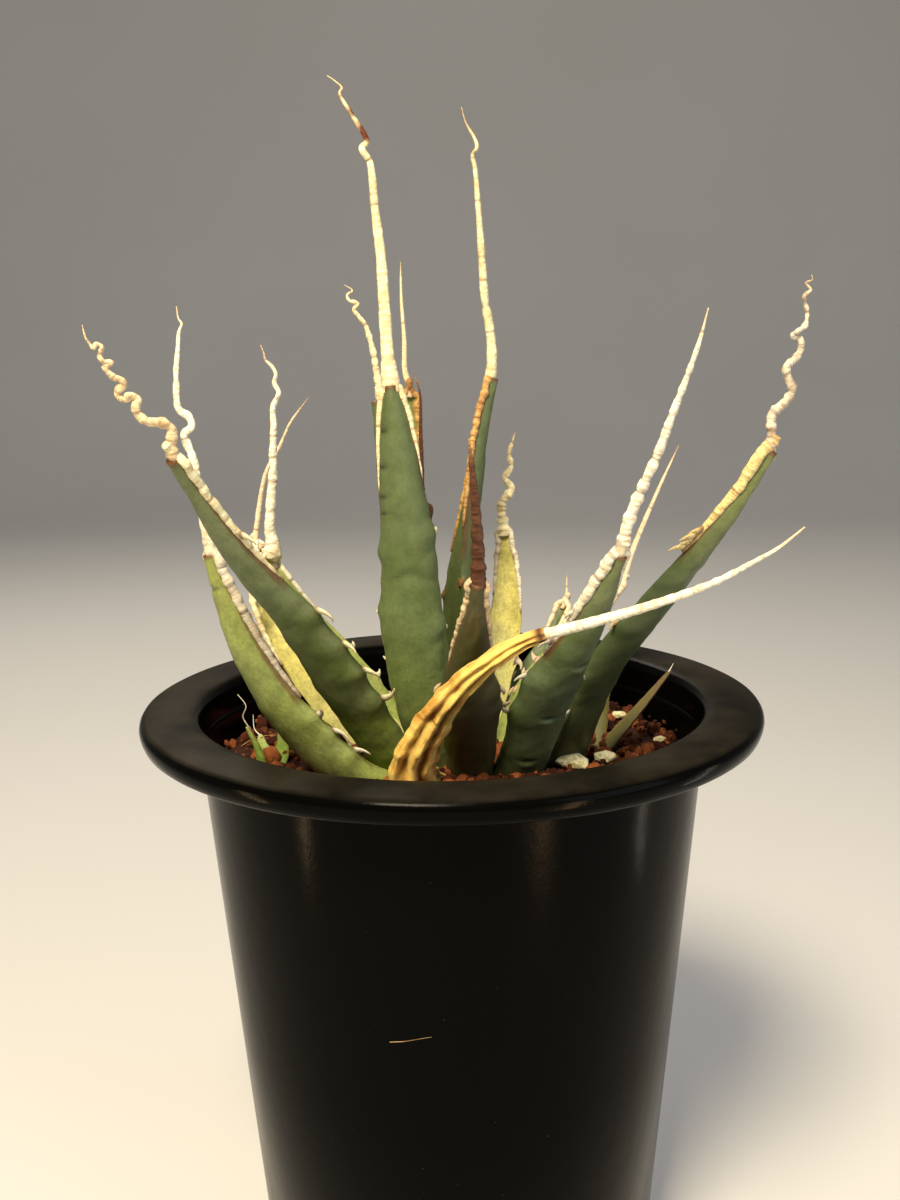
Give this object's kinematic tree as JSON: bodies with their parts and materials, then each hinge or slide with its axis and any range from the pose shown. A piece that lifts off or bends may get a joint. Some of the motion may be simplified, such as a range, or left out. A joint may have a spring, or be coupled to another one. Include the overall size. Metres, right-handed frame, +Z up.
{
  "type": "potted eborispina utah agave",
  "caption": "Small utah agave with long ivory spines, standing in gritty soil in a wide-rimmed glossy black pot.",
  "frame": {"origin": "centre of the pot's flat underside", "axes": "+Z up from the underside to the spine tips, -Y to the front of the plant as pictured, +X to the right seen from the front"},
  "size_m": [0.1505, 0.1505, 0.2908],
  "materials": {
    "pot_plastic": "gloss",
    "soil_grit": "rough grit",
    "stem_bark": "rough",
    "leaf_skin": "waxy satin",
    "ivory": "horny, matt",
    "dried_skin": "dry, papery",
    "pup_skin": "satin"
  },
  "bodies": {
    "root": {"pot": "pot_plastic", "soil": "soil_grit", "stem": "stem_bark", "leaf_01": "leaf_skin", "leaf_02": "leaf_skin", "leaf_03": "leaf_skin", "leaf_04": "leaf_skin", "leaf_05": "leaf_skin", "leaf_06": "leaf_skin", "leaf_07": "leaf_skin", "leaf_09": "leaf_skin", "leaf_10": "leaf_skin", "leaf_11": "leaf_skin", "leaf_13": "leaf_skin", "leaf_14": "leaf_skin", "leaf_15": "leaf_skin", "leaf_16": "leaf_skin", "leaf_17": "leaf_skin", "leaf_18": "leaf_skin", "horn_01": "ivory", "horn_02": "ivory", "horn_03": "ivory", "horn_04": "ivory", "horn_05": "ivory", "horn_06": "ivory", "horn_07": "ivory", "horn_09": "ivory", "horn_10": "ivory", "horn_11": "ivory", "horn_13": "ivory", "horn_14": "ivory", "horn_15": "ivory", "horn_16": "ivory", "horn_17": "ivory", "horn_18": "ivory", "leaf_12": "dried_skin", "horn_12": "ivory", "pup_left": "pup_skin", "pup_right": "pup_skin"}
  },
  "joints": []
}
